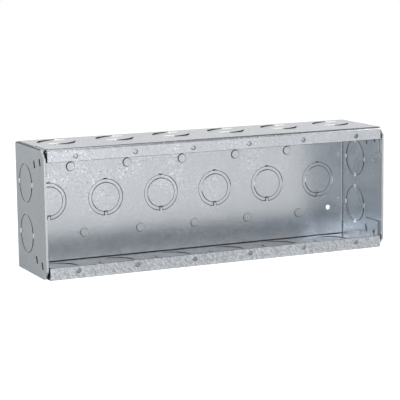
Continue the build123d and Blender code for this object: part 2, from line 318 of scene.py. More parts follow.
def body_zinc_material(finish):
    """Hot-dip galvanised sheet with a small spangle: pale grey, softly glossy, flecked and scuffed."""
    material, tree, output = new_material("galvanised_body_sheet")
    spot = add(tree, "ShaderNodeTexCoord").outputs
    point = spot["Object"]
    axes = add(tree, "ShaderNodeSeparateXYZ", {0: point})

    # Zinc crystals, each a little lighter or darker than the next
    crystals = add(tree, "ShaderNodeTexVoronoi", {"Vector": point, "Scale": 1 / finish.spangle})
    crystal = add(tree, "ShaderNodeSeparateColor", {0: crystals.outputs["Color"]}).outputs[0]

    # Fine pits and bright flecks, about a millimetre wide and sparse
    grit = add(tree, "ShaderNodeTexNoise", {"Vector": point, "Scale": 1 / finish.fleck, "Detail": 1.0})
    pits = add(
        tree, "ShaderNodeMapRange", {0: grit.outputs[0], 1: 0.30, 2: 0.37, 3: -finish.pit_shade, 4: 0.0}
    )
    flecks = add(
        tree, "ShaderNodeMapRange", {0: grit.outputs[0], 1: 0.62, 2: 0.69, 3: 0.0, 4: finish.fleck_shade}
    )
    grain = add(tree, "ShaderNodeMath", {0: pits.outputs[0], 1: flecks.outputs[0]}, operation="ADD")

    # Slanting scuffs, drawn out at 45 degrees in the plane of the flanges
    slanted = add(
        tree,
        "ShaderNodeMapping",
        {"Vector": point, "Rotation": (0, math.radians(-45), 0), "Scale": (1, 1, 2.4)},
        vector_type="TEXTURE",
    )
    scuffs = add(
        tree, "ShaderNodeTexNoise", {"Vector": slanted.outputs[0], "Scale": 1 / finish.scuff, "Detail": 2.0}
    )
    scuff = add(
        tree,
        "ShaderNodeMapRange",
        {0: scuffs.outputs[0], 1: 0.35, 2: 0.65, 3: -finish.scuff_dark, 4: finish.scuff_light},
    )

    # The flanges take the most handling: full scuffs in front, few inside. The scuffs darken more than they
    # lighten and are fullest low down, so they also paint shade on the bottom flange
    fading = {1: body_low.y + finish.scuff_front, 2: body_low.y + finish.scuff_back, 3: 1.0, 4: 0.25}
    rising = {1: finish.scuff_low, 2: finish.scuff_high, 3: 1.0, 4: 0.3}
    in_front = add(tree, "ShaderNodeMapRange", {0: axes.outputs[1], **fading}).outputs[0]
    low_down = add(tree, "ShaderNodeMapRange", {0: axes.outputs[2], **rising}).outputs[0]
    wear_and_shade = add(tree, "ShaderNodeMath", {0: in_front, 1: low_down}, operation="MULTIPLY")
    scuff_and_shade = add(tree, "ShaderNodeMath", {0: scuff.outputs[0], 1: wear_and_shade.outputs[0]}, operation="MULTIPLY")

    # Wide soft clouds
    clouds = add(tree, "ShaderNodeTexNoise", {"Vector": point, "Scale": 1 / finish.mottle, "Detail": 2.0})
    cloud = add(tree, "ShaderNodeMapRange", {0: clouds.outputs[0], **NOISE_SPAN, 3: 0.96, 4: 1.03})
    tint = add(tree, "ShaderNodeMapRange", {0: crystal, 3: -0.012, 4: 0.012})

    # The flecks come in drifts, more of them high up and to the left
    drift = add(tree, "ShaderNodeMapRange", {0: clouds.outputs[0], 1: 0.38, 2: 0.6, 3: 0.25, 4: 1.0})
    upward = {1: finish.fleck_low, 2: finish.fleck_high, 3: 0.3, 4: 1.0}
    rightward = {1: 0.0, 2: finish.fleck_right, 3: 1.0, 4: 0.4}
    high_up = add(tree, "ShaderNodeMapRange", {0: axes.outputs[2], **upward})
    leftward = add(tree, "ShaderNodeMapRange", {0: axes.outputs[0], **rightward})
    amount = add(tree, "ShaderNodeMath", {0: drift.outputs[0], 1: high_up.outputs[0]}, operation="MULTIPLY")
    amount = add(tree, "ShaderNodeMath", {0: amount.outputs[0], 1: leftward.outputs[0]}, operation="MULTIPLY")
    grain = add(tree, "ShaderNodeMath", {0: grain.outputs[0], 1: amount.outputs[0]}, operation="MULTIPLY")

    shade = add(tree, "ShaderNodeMath", {0: cloud.outputs[0], 1: tint.outputs[0]}, operation="ADD")
    shade = add(tree, "ShaderNodeMath", {0: shade.outputs[0], 1: grain.outputs[0]}, operation="ADD")
    shade = add(tree, "ShaderNodeMath", {0: shade.outputs[0], 1: scuff_and_shade.outputs[0]}, operation="ADD")

    # Painted shade: the floor inside the box, its low faces that look up, is made darker
    facing = add(tree, "ShaderNodeSeparateXYZ", {0: spot["Normal"]})
    level = add(tree, "ShaderNodeMapRange", {0: facing.outputs[2], 1: 0.7, 2: 0.95})
    lowest = {1: finish.floor_shade_low, 2: finish.floor_shade_high, 3: 1.0, 4: 0.0}
    low = add(tree, "ShaderNodeMapRange", {0: axes.outputs[2], **lowest})
    shade_film = add(tree, "ShaderNodeMath", {0: level.outputs[0], 1: low.outputs[0]}, operation="MULTIPLY")
    floor_shade = add(tree, "ShaderNodeMapRange", {0: shade_film.outputs[0], 3: 1.0, 4: finish.floor_shade})
    shade = add(tree, "ShaderNodeMath", {0: shade.outputs[0], 1: floor_shade.outputs[0]}, operation="MULTIPLY")
    zinc = add(
        tree,
        "ShaderNodeMix",
        {0: 1.0, 6: (*finish.body_zinc, 1), 7: shade.outputs[0]},
        data_type="RGBA",
        blend_type="MULTIPLY",
    )
    swing = 0.012
    smoother = finish.body_roughness - swing
    rougher = finish.body_roughness + swing
    gloss = add(tree, "ShaderNodeMapRange", {0: crystal, 3: smoother, 4: rougher})
    relief = add(
        tree, "ShaderNodeBump", {"Strength": 0.15, "Distance": finish.grain_depth, "Height": grit.outputs[0]}
    )
    metal = add(
        tree,
        "ShaderNodeBsdfPrincipled",
        {
            "Base Color": zinc.outputs[2],
            "Metallic": 1.0,
            "Roughness": gloss.outputs[0],
            "Normal": relief.outputs[0],
        },
    )
    tree.links.new(metal.outputs[0], output.inputs[0])
    return material


def end_zinc_material(finish):
    """Skin-passed galvanised sheet: its crystals are rolled flat, so it is smoother and greyer."""
    material, tree, output = new_material("galvanised_end_sheet")
    spot = add(tree, "ShaderNodeTexCoord").outputs
    point = spot["Object"]
    clouds = add(tree, "ShaderNodeTexNoise", {"Vector": point, "Scale": 1 / finish.mottle, "Detail": 3.0})
    cloud = add(tree, "ShaderNodeMapRange", {0: clouds.outputs[0], **NOISE_SPAN, 3: 0.95, 4: 1.04})
    grit = add(tree, "ShaderNodeTexNoise", {"Vector": point, "Scale": 1 / finish.fleck, "Detail": 1.5})
    grain = add(tree, "ShaderNodeMapRange", {0: grit.outputs[0], **NOISE_SPAN, 3: -0.03, 4: 0.03})
    shade = add(tree, "ShaderNodeMath", {0: cloud.outputs[0], 1: grain.outputs[0]}, operation="ADD")

    # Painted shade and light: the outside of an end, whose faces look away from the middle, is darker toward
    # its foot and lighter toward its head
    axes = add(tree, "ShaderNodeSeparateXYZ", {0: point})
    facing = add(tree, "ShaderNodeSeparateXYZ", {0: spot["Normal"]})
    away = add(tree, "ShaderNodeMath", {0: axes.outputs[0], 1: facing.outputs[0]}, operation="MULTIPLY")
    outside = add(
        tree, "ShaderNodeMapRange", {0: away.outputs[0], 1: finish.outside_from, 2: finish.outside_full}
    )
    upward = {1: 0.0, 2: finish.head_height, 3: finish.foot_shade, 4: 1 + finish.head_light}
    rise = add(tree, "ShaderNodeMapRange", {0: axes.outputs[2], **upward})
    painted_height_shade = add(tree, "ShaderNodeMapRange", {0: outside.outputs[0], 3: 1.0, 4: rise.outputs[0]})
    shade = add(tree, "ShaderNodeMath", {0: shade.outputs[0], 1: painted_height_shade.outputs[0]}, operation="MULTIPLY")
    zinc = add(
        tree,
        "ShaderNodeMix",
        {0: 1.0, 6: (*finish.end_zinc, 1), 7: shade.outputs[0]},
        data_type="RGBA",
        blend_type="MULTIPLY",
    )
    swing = 0.04
    smoother = finish.end_roughness - swing
    rougher = finish.end_roughness + swing
    gloss = add(tree, "ShaderNodeMapRange", {0: clouds.outputs[0], **NOISE_SPAN, 3: smoother, 4: rougher})
    relief = add(
        tree, "ShaderNodeBump", {"Strength": 0.12, "Distance": finish.grain_depth, "Height": grit.outputs[0]}
    )
    metal = add(
        tree,
        "ShaderNodeBsdfPrincipled",
        {
            "Base Color": zinc.outputs[2],
            "Metallic": 1.0,
            "Roughness": gloss.outputs[0],
            "Normal": relief.outputs[0],
        },
    )
    tree.links.new(metal.outputs[0], output.inputs[0])
    return material


def bare_steel_material(name, tone, roughness, grit_size):
    """Bare cut steel: darker than the zinc and torn or tooled, so its colour and gloss break up finely."""
    material, tree, output = new_material(name)
    point = add(tree, "ShaderNodeTexCoord").outputs["Object"]
    grit = add(tree, "ShaderNodeTexNoise", {"Vector": point, "Scale": 1 / grit_size, "Detail": 2.0})
    shade = add(tree, "ShaderNodeMapRange", {0: grit.outputs[0], **NOISE_SPAN, 3: 0.8, 4: 1.1})
    steel = add(
        tree,
        "ShaderNodeMix",
        {0: 1.0, 6: (*tone, 1), 7: shade.outputs[0]},
        data_type="RGBA",
        blend_type="MULTIPLY",
    )
    swing = 0.08
    smoother = roughness - swing
    rougher = roughness + swing
    gloss = add(tree, "ShaderNodeMapRange", {0: grit.outputs[0], **NOISE_SPAN, 3: smoother, 4: rougher})
    metal = add(
        tree,
        "ShaderNodeBsdfPrincipled",
        {"Base Color": steel.outputs[2], "Metallic": 1.0, "Roughness": gloss.outputs[0]},
    )
    tree.links.new(metal.outputs[0], output.inputs[0])
    return material


def sheared_steel_and_shade_material(finish):
    """Steel broken by a punch: rough, and painted near black as shade, so that the narrow cracks, slots and
    grooves that it lines read as shadowed crevices.
    """
    return bare_steel_material("sheared_steel", finish.sheared_steel, 0.6, 0.4 * MM)


def tapped_steel_material(finish):
    """Steel cut by a tap: brighter than a torn edge."""
    return bare_steel_material("tapped_steel", finish.tapped_steel, 0.35, 0.3 * MM)


def burnished_steel_material(finish):
    """Steel that a shear has drawn smooth: brighter than a torn edge."""
    return bare_steel_material("burnished_steel", finish.burnished_steel, 0.3, 0.6 * MM)


def drawn_zinc_highlight_material(finish):
    """Zinc stretched smooth over ties and steps, and painted near white as a highlight: it mirrors the white
    room, so it is the brightest spot.
    """
    return bare_steel_material("drawn_zinc", finish.drawn_zinc, finish.drawn_roughness, 2.0 * MM)


def named_material(name, make, finish):
    """The material of that name, made the first time that it is asked for."""
    return bpy.data.materials.get(name) or make(finish)


def new_tree(name, inputs):
    """A node tree with named inputs and one output, and the sockets of what it is given."""
    tree = bpy.data.node_groups.new(name, "GeometryNodeTree")
    for socket, kind in inputs.items():
        tree.interface.new_socket(socket, in_out="INPUT", socket_type=kind)
    tree.interface.new_socket("Geometry", in_out="OUTPUT", socket_type="NodeSocketGeometry")
    return tree, add(tree, "NodeGroupInput").outputs


def end_tree(tree, shape, material):
    """Ends a node tree: what it makes is real, and of one material."""
    real = add(tree, "GeometryNodeRealizeInstances", {0: shape.outputs[0]})
    dressed = add(tree, "GeometryNodeSetMaterial", {"Geometry": real.outputs[0], "Material": material})
    add(tree, "NodeGroupOutput", {0: dressed.outputs[0]})


def row_tree():
    """A node tree that repeats a tool along a straight row and gives the copies one material."""
    known = bpy.data.node_groups.get("row_of_tools")
    if known:
        return known
    inputs = {
        "Geometry": "NodeSocketGeometry",
        "Count": "NodeSocketInt",
        "Start": "NodeSocketVector",
        "Step": "NodeSocketVector",
        "Turn": "NodeSocketRotation",
        "Material": "NodeSocketMaterial",
    }
    tree, given = new_tree("row_of_tools", inputs)
    places = add(
        tree,
        "GeometryNodeMeshLine",
        {"Count": given["Count"], "Start Location": given["Start"], "Offset": given["Step"]},
    )
    copies = add(
        tree,
        "GeometryNodeInstanceOnPoints",
        {"Points": places.outputs[0], "Instance": given["Geometry"], "Rotation": given["Turn"]},
    )
    end_tree(tree, copies, given["Material"])
    return tree


def thread_tree():
    """A node tree that winds the ridge of one thread down a hole, from its face at Z = 0."""
    known = bpy.data.node_groups.get("thread_ridge")
    if known:
        return known
    points_a_turn = 20
    ridge_sides = 6
    inputs = {
        "Geometry": "NodeSocketGeometry",
        "Radius": "NodeSocketFloat",
        "Pitch": "NodeSocketFloat",
        "Length": "NodeSocketFloat",
        "Ridge": "NodeSocketFloat",
        "Material": "NodeSocketMaterial",
    }
    tree, given = new_tree("thread_ridge", inputs)
    turns = add(tree, "ShaderNodeMath", {0: given["Length"], 1: given["Pitch"]}, operation="DIVIDE")
    helix = add(
        tree,
        "GeometryNodeCurveSpiral",
        {
            "Resolution": points_a_turn,
            "Rotations": turns.outputs[0],
            "Start Radius": given["Radius"],
            "End Radius": given["Radius"],
            "Height": given["Length"],
        },
    )
    section = add(
        tree, "GeometryNodeCurvePrimitiveCircle", {"Resolution": ridge_sides, "Radius": given["Ridge"]}
    )
    ridge = add(
        tree,
        "GeometryNodeCurveToMesh",
        {"Curve": helix.outputs[0], "Profile Curve": section.outputs[0], "Fill Caps": True},
    )
    end_tree(tree, ridge, given["Material"])
    return tree


def evaluated_mesh(piece):
    """What a piece's modifiers make of it, as a plain mesh."""
    depsgraph = bpy.context.evaluated_depsgraph_get()
    return bpy.data.meshes.new_from_object(piece.evaluated_get(depsgraph), depsgraph=depsgraph)


def new_piece(name, mesh):
    """A new object of that mesh, at the origin of the scene."""
    piece = bpy.data.objects.new(name, mesh)
    bpy.context.scene.collection.objects.link(piece)
    return piece


def made_by(tree, carried, **inputs):
    """A plain mesh of what a node tree makes of a carried mesh, with the tree's inputs set by name."""
    carrier = new_piece(tree.name, carried)
    modifier = carrier.modifiers.new(tree.name, "NODES")
    modifier.node_group = tree
    for item in tree.interface.items_tree:
        if item.item_type == "SOCKET" and item.in_out == "INPUT" and item.name in inputs:
            modifier[item.identifier] = inputs[item.name]
    mesh = evaluated_mesh(carrier)
    bpy.data.objects.remove(carrier)
    return mesh


def row(tool, count, start, step, turn, material):
    """A plain mesh of a tool repeated along a row, each copy with its +Z turned along the wall's face."""
    return made_by(
        row_tree(), tool, Count=count, Start=tuple(start), Step=tuple(step), Turn=turn, Material=material
    )


def solid(name, *makers):
    """A closed mesh from functions that each add their faces to it."""
    work = bmesh.new()
    for make in makers:
        make(work)
    bmesh.ops.recalc_face_normals(work, faces=work.faces)
    mesh = bpy.data.meshes.new(name)
    work.to_mesh(mesh)
    work.free()
    return mesh


def joined(name, meshes):
    """One mesh of several, with their materials."""
    work = bmesh.new()
    materials = []
    for mesh in meshes:
        first = len(work.faces)
        work.from_mesh(mesh)
        work.faces.ensure_lookup_table()
        for own in mesh.materials:
            if own not in materials:
                materials.append(own)
        for face in work.faces[first:]:
            face.material_index = materials.index(mesh.materials[face.material_index])
    whole = bpy.data.meshes.new(name)
    work.to_mesh(whole)
    work.free()
    for own in materials:
        whole.materials.append(own)
    return whole


def on_circle(radius, turn, height):
    """A point at an angle on a circle round Z."""
    return Vector((radius * math.cos(turn), radius * math.sin(turn), height))


def band(profile, spans, segments):
    """A maker of solid arcs: a closed profile of radii and heights, swept round Z through each span."""

    def make(work):
        for start, end in spans:
            whole = end - start > math.tau - 0.001
            count = max(2, round(segments * (end - start) / math.tau))
            turns = [start + (end - start) * index / count for index in range(count + (not whole))]
            rings = [[work.verts.new(on_circle(r, turn, z)) for r, z in profile] for turn in turns]
            following = rings[1:] + rings[:1] if whole else rings[1:]
            for ring, after in zip(rings, following):
                for corner in range(len(profile)):
                    work.faces.new((ring[corner - 1], ring[corner], after[corner], after[corner - 1]))
            if not whole:
                work.faces.new(rings[0])
                work.faces.new(rings[-1])

    return make


def turned(profile, segments, shape=Matrix.Identity(4)):
    """A maker of a turned solid: a profile of radii and heights that starts and ends on the axis."""

    def make(work):
        low = work.verts.new(shape @ Vector((0, 0, profile[0][1])))
        high = work.verts.new(shape @ Vector((0, 0, profile[-1][1])))
        turns = [math.tau * index / segments for index in range(segments)]
        rings = [[work.verts.new(shape @ on_circle(r, turn, z)) for turn in turns] for r, z in profile[1:-1]]
        for index in range(segments):
            work.faces.new((low, rings[0][index - 1], rings[0][index]))
            for ring, above in zip(rings, rings[1:]):
                work.faces.new((ring[index - 1], ring[index], above[index], above[index - 1]))
            work.faces.new((high, rings[-1][index], rings[-1][index - 1]))

    return make


def block(size, centre, turn=Matrix.Identity(4)):
    """A maker of a square-edged tool of that size round a centre, turned or not."""

    def make(work):
        shape = Matrix.Translation(centre) @ turn @ Matrix.Diagonal((*size, 1))
        bmesh.ops.create_cube(work, size=1, matrix=shape)

    return make


def of_metal(mesh, material):
    """The mesh, all of one material."""
    mesh.materials.append(material)
    return mesh


def spans_between(ties, width, radius):
    """The spans of angle between ties of a width, at angles in rising order, on a circle."""
    half = width / radius / 2
    after = ties[1:] + [ties[0] + math.tau]
    return [(tie + half, following - half) for tie, following in zip(ties, after)]


def shear_line(sizes, radius, spans, open_share=1.0):
    """A maker of the crack round a ring, disc or boss, at a share of its full width and depth."""
    half = open_share * sizes.shear_width / 2
    depth = open_share * sizes.shear_depth
    return band(
        [
            (radius - half, -depth),
            (radius + half, -depth),
            (radius + half, 2 * sizes.step),
            (radius - half, 2 * sizes.step),
        ],
        spans,
        sizes.segments,
    )


def arc_line(sizes, radius, first, last, open_share):
    """A maker of a crack along one arc, between two angles in degrees."""
    return shear_line(sizes, radius, [(math.radians(first), math.radians(last))], open_share)


def tie_swell(sizes, width, inset, turn, rise, twist=0.0):
    """A maker of the shallow swelling beside the circle, where a tie's metal is drawn and not cut."""
    steps = 10
    facets = 24
    half_turns = [math.pi * (index / steps - 0.5) for index in range(steps + 1)]
    profile = [(math.cos(half), math.sin(half)) for half in half_turns]
    spot = Matrix.Rotation(turn, 4, "Z") @ Matrix.Translation((sizes.ring_radius - inset, 0, 0))
    lie = Matrix.Rotation(twist, 4, "X")
    return turned(profile, facets, spot @ lie @ Matrix.Diagonal((width / 2, width / 2, rise, 1)))


def struck_disc(sizes, tie, twist):
    """A maker of a knockout's disc in the sheet below Z = 0, turned a little about the line of two ties."""
    radius = sizes.ring_radius + sizes.disc_lap
    half = sizes.sheet / 2
    line = Vector((math.cos(tie), math.sin(tie), 0))
    shape = Matrix.Translation((0, 0, -half)) @ Matrix.Rotation(twist, 4, line)
    return turned([(0, -half), (radius, -half), (radius, half), (0, half)], sizes.segments, shape)


def disc_room(sizes, depth):
    """A maker of the room for a disc, cut to a depth below Z = 0."""
    radius = sizes.ring_radius - 2 * sizes.disc_lap
    return turned([(0, -depth), (radius, -depth), (radius, sizes.step), (0, sizes.step)], sizes.segments)


def struck(name, node, blows):
    """A merged copy of a CAD node's mesh, with meshes cut from it or added to it in the order given."""
    work = bmesh.new()
    work.from_mesh(frame["nodes"][node].data)
    bmesh.ops.remove_doubles(work, verts=work.verts, dist=WELD)
    mesh = bpy.data.meshes.new(name)
    work.to_mesh(mesh)
    work.free()
    piece = new_piece(name, mesh)
    tools = []
    for operation, meshes in blows:
        tool = new_piece(name + "_tool", joined(name + "_tool", meshes))
        tool.hide_render = True
        tools.append(tool)
        modifier = piece.modifiers.new(operation, "BOOLEAN")
        modifier.operation = operation
        modifier.object = tool
        modifier.solver = "EXACT"
        modifier.material_mode = "TRANSFER"
    return piece, tools


def shade_evenly(mesh):
    """Keeps the walls flat, and shades each bend or round form smoothly up to the wall that it runs into."""
    flat = math.cos(math.radians(4))
    smooth = math.cos(math.radians(34))
    faces_at = [[] for vertex in mesh.vertices]
    for face in mesh.polygons:
        for vertex in face.vertices:
            faces_at[vertex].append(face.index)
    normals = [face.normal.copy() for face in mesh.polygons]
    areas = [face.area for face in mesh.polygons]
    is_wall = [max(abs(normal.x), abs(normal.y), abs(normal.z)) > flat for normal in normals]
    corner_normals = [None] * len(mesh.loops)
    for face in mesh.polygons:
        own = normals[face.index]
        for corner, vertex in zip(face.loop_indices, face.vertices):
            corner_normals[corner] = own
            if not is_wall[face.index]:
                near = [other for other in faces_at[vertex] if own.dot(normals[other]) > smooth]
                beside = [other for other in near if is_wall[other]] or near
                total = sum((areas[other] * normals[other] for other in beside), Vector())
                corner_normals[corner] = total.normalized()
    mesh.shade_smooth()
    mesh.set_sharp_from_angle(angle=math.acos(smooth))
    for face in mesh.polygons:
        face.use_smooth = not is_wall[face.index]
    mesh.normals_split_custom_set(corner_normals)


def settle(piece, tools, zinc, finishes):
    """Turns a struck piece's modifiers into its mesh, gives faces their own metal and evens its shading."""
    piece.data.materials.clear()
    piece.data.materials.append(zinc)
    mesh = evaluated_mesh(piece)
    piece.modifiers.clear()
    piece.data = mesh
    for tool in tools:
        bpy.data.objects.remove(tool)
    work = bmesh.new()
    work.from_mesh(mesh)
    bmesh.ops.dissolve_degenerate(work, dist=2 * WELD, edges=work.edges)
    work.to_mesh(mesh)
    work.free()
    plain = mesh.materials.find(zinc.name)
    for metal, is_there in finishes:
        if metal.name not in mesh.materials:
            mesh.materials.append(metal)
        own = mesh.materials.find(metal.name)
        for face in mesh.polygons:
            if face.material_index == plain and is_there(face.center, face.normal):
                face.material_index = own
    shade_evenly(mesh)


def dress(piece, slot, *nodes):
    """Fixes a finished piece to the frame's one body, in the place of the CAD nodes that it stands for."""
    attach(piece, "root")
    if nodes:
        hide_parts(*nodes)


def gang_row(tool, start, turn, material):
    """A row of a tool, one to each gang."""
    return row(tool, gang_count, start, along_gangs, turn, material)


def boss_row(tool, start, turn, material):
    """A row of a tool, one to each line between two gangs."""
    return row(tool, gang_count - 1, start, along_gangs, turn, material)


def back_knockout_tools(sizes):
    """Tools for the concentric knockouts of the back: a sunken ring inside, standing out behind."""
    hairline = 0.45
    slope = 0.6 * sizes.step
    behind_spans = spans_between([math.pi / 2], sizes.tie_width, sizes.ring_radius)
    ring_profile = [
        (sizes.disc_radius, -sizes.step),
        (sizes.ring_radius, -sizes.step),
        (sizes.ring_radius, sizes.step - slope),
        (sizes.ring_radius - slope, sizes.step),
        (sizes.disc_radius + slope, sizes.step),
        (sizes.disc_radius, sizes.step - slope),
    ]

    # Each crack closes up to the upper left of its disc and to the lower right of its ring: the shear lines
    # are real, and their widths round the circle paint the shade on the steps
    disc_arcs = (
        {"first": 205.5, "last": 300, "open_share": 0.75},
        {"first": 300.5, "last": 480, "open_share": 0.85},
        {"first": 480.5, "last": 502, "open_share": 0.45},
        {"first": 192, "last": 205, "open_share": 0.45},
    )
    ring_arcs = (
        {"first": -85, "last": -60.5, "open_share": 0.36},
        {"first": -60, "last": -30.5, "open_share": 0.28},
        {"first": -30, "last": -0.5, "open_share": 0.12},
        {"first": 0, "last": 119.5, "open_share": 0.34},
        {"first": 120, "last": 214.5, "open_share": 0.46},
        {"first": 215, "last": 265, "open_share": 0.68},
    )
    cracks = [arc_line(sizes, sizes.disc_radius, **part) for part in disc_arcs]
    cracks += [arc_line(sizes, sizes.ring_radius, **part) for part in ring_arcs]
    behind_cracks = [
        shear_line(sizes, sizes.disc_radius, FULL_TURN, hairline),
        shear_line(sizes, sizes.ring_radius, behind_spans, hairline),
    ]

    # Torn bottoms of the pry slots, and the torn sides of the tie below each disc
    rim_slot = (sizes.rim_slot, sizes.slot_width, 2 * sizes.slot_depth)
    disc_slot = (sizes.disc_slot, sizes.slot_width, 2 * sizes.slot_depth)
    slots = [block(rim_slot, (0, sizes.ring_radius, 0)), block(disc_slot, (0, -sizes.disc_radius, 0))]
    leg_reach = sizes.ring_radius - sizes.disc_radius
    leg_size = (1.5 * sizes.shear_width, leg_reach, 2 * sizes.shear_depth)
    leg_y = -sizes.disc_radius - leg_reach / 2
    legs = [block(leg_size, (side * sizes.tie_width / 2, leg_y, 0)) for side in (-1, 1)]
    return {
        "proud_ring": solid("proud_ring", band(ring_profile, behind_spans, sizes.segments)),
        "cracks": solid("back_cracks", *cracks),
        "behind_cracks": solid("behind_cracks", *behind_cracks),
        "slots": solid("back_slots", *slots),
        "tie_legs": solid("tie_legs", *legs),
    }


def wall_knockout_tools(sizes):
    """Tools for the knockouts of the top and bottom: one disc each, turned about its two ties."""
    tie = sizes.wall_tie_angle
    ties = {"outer": [tie, tie + math.pi], "inner": [-tie, math.pi - tie]}
    twists = {"top": sizes.top_twist, "base": sizes.base_twist}
    tools = {"room": solid("wall_disc_room", disc_room(sizes, sizes.sheet + sizes.step))}
    for face, turns in ties.items():
        spans = spans_between(turns, sizes.wall_tie_width, sizes.ring_radius)
        tools[face + "_cracks"] = solid("wall_cracks", shear_line(sizes, sizes.ring_radius, spans))
    for wall, twist in twists.items():
        swells = [
            tie_swell(sizes, sizes.wall_swell, sizes.wall_swell_inset, turn, sizes.wall_swell_rise, lean)
            for turn, lean in zip(ties["outer"], (-twist, twist))
        ]
        tools[wall + "_disc"] = solid("wall_disc", struck_disc(sizes, tie, -twist))
        tools[wall + "_swells"] = solid("wall_swells", *swells)
    return tools


def boss_tool_rows(sizes, press, zinc, torn_and_shaded):
    """Rows of hollows behind the bosses, of cracks round their feet and of wider, darker ones on one side of
    each, painted shade on the bosses' dark sides.
    """
    profile = [
        (0, -press.boss_depth),
        (press.boss_floor, -press.boss_depth),
        (press.boss_radius, 0),
        (press.boss_radius, press.boss_depth),
        (0, press.boss_depth),
    ]
    hollow = solid("boss_hollow", turned(profile, sizes.segments // 2))
    upper = {"side": -1, "ring_share": 0.5, "dark": {"first": 75, "last": 245, "open_share": 0.9}}
    lower = {"side": 1, "ring_share": 0.15, "dark": {"first": 160, "last": 305, "open_share": 0.6}}
    hollows = []
    rings = []
    shade_crescents = []
    for boss in (upper, lower):
        x = first_gang + gang_pitch / 2 + boss["side"] * press.boss_stagger
        z = mid_height - boss["side"] * press.boss_rows / 2
        inside = (x, body_high.y - sizes.sheet, z)
        ring = solid("boss_ring", shear_line(sizes, press.boss_foot, FULL_TURN, boss["ring_share"]))
        shade_crescent = solid("boss_crescent", arc_line(sizes, press.boss_foot, **boss["dark"]))
        hollows.append(boss_row(hollow, (x, body_high.y, z), FACING_BACK, zinc))
        rings.append(boss_row(ring, inside, FACING_FRONT, torn_and_shaded))
        shade_crescents.append(boss_row(shade_crescent, inside, FACING_FRONT, torn_and_shaded))
    return hollows, rings, shade_crescents


def edge_tools(sizes, press):
    """Tools for the body's bends and edges: creases that paint shade in the bends, broken lips that paint a
    shade line, broken corners, dark blocks that paint the shade behind the flange ends, and the flange ends.
    """
    # Creases coined inside the two back bends, lined with near-black steel: painted shade along the inner
    # corners
    eighth = Matrix.Rotation(math.pi / 4, 4, "X")
    shade_groove_in = sizes.sheet + press.bend_inside * (1 - math.cos(math.pi / 4))
    shade_groove_size = (2 * body_high.x - 2 * sizes.sheet, press.shade_groove_width, 2 * press.shade_groove_depth)
    shade_groove_y = body_high.y - shade_groove_in
    bend_shade_grooves = [
        block(shade_groove_size, (0, shade_groove_y, body_low.z + shade_groove_in), eighth),
        block(shade_groove_size, (0, shade_groove_y, body_high.z - shade_groove_in), eighth.inverted()),
    ]

    # Broken edges along the lips of the flanges, lined with near-black steel that paints a thin shade line
    # along each lip
    lip_side = press.lip_break * math.sqrt(2)
    lip_size = (2 * body_high.x, lip_side, lip_side)
    shaded_lips = [
        block(lip_size, (0, body_low.y, z), eighth)
        for z in (body_low.z + press.flange, body_high.z - press.flange)
    ]

    # Sheared ends of the flanges, up to their bends, and dark blocks at the tabs' roots behind them, which
    # paint the shade in the seams beside the end plates
    bend_outside = sizes.sheet + press.bend_inside
    flange_end = body_high.x - press.flange_gap
    flat_flange = press.flange - bend_outside
    flat_z = bend_outside + flat_flange / 2
    flats = [(side, z) for side in (-1, 1) for z in (body_low.z + flat_z, body_high.z - flat_z)]
    shade_block_size = (press.shade_block_width, press.shade_block_depth, flat_flange)
    shade_block_x = flange_end + press.shade_block_reach - press.shade_block_width / 2
    shade_block_y = body_low.y + sizes.sheet + press.shade_block_depth / 2
    skin_size = (2 * NEAR, 1.2 * sizes.sheet, flat_flange)
    skin_y = body_low.y + sizes.sheet / 2
    seam_shade_blocks = [block(shade_block_size, (side * shade_block_x, shade_block_y, z)) for side, z in flats]
    skins = [block(skin_size, (side * flange_end, skin_y, z)) for side, z in flats]

    # Bright broken edges at the two ends of the back
    corner_side = press.corner_break * math.sqrt(2)
    corner_size = (corner_side, corner_side, body_high.z - 4 * sizes.sheet)
    corner_x = body_high.x - press.end_gap
    corner_y = body_high.y - sizes.sheet
    upright_eighth = Matrix.Rotation(math.pi / 4, 4, "Z")
    corners = [
        block(corner_size, (side * corner_x, corner_y, mid_height), upright_eighth) for side in (-1, 1)
    ]
    return {
        "bend_shade_grooves": solid("bend_creases", *bend_shade_grooves),
        "shaded_lips": solid("flange_lips", *shaded_lips),
        "seam_shade_blocks": solid("tab_roots", *seam_shade_blocks),
        "skins": solid("flange_ends", *skins),
        "corners": solid("back_corners", *corners),
    }


